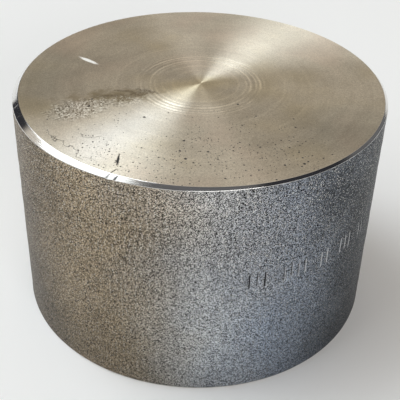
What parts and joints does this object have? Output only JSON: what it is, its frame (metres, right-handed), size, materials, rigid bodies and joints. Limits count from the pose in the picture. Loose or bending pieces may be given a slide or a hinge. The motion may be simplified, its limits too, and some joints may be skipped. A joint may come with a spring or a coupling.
{
  "type": "pipe cap",
  "caption": "Round forged-steel pipe cap with a blind, internally taper-threaded hole, a flat closed end with a thin chamfer, and a flat mouth rim.",
  "frame": {"origin": "centre of the open mouth's flat rim, where the cap stands", "axes": "+Z along the cap's axis, from the open mouth to the closed face; +X and +Y are free choices about that axis"},
  "size_m": [0.076, 0.076, 0.049],
  "materials": {
    "forged_steel": "blasted round wall, lathe-turned closed face and chamfer, cut threads"
  },
  "bodies": {
    "root": {"cap_body": "forged_steel"}
  },
  "joints": []
}
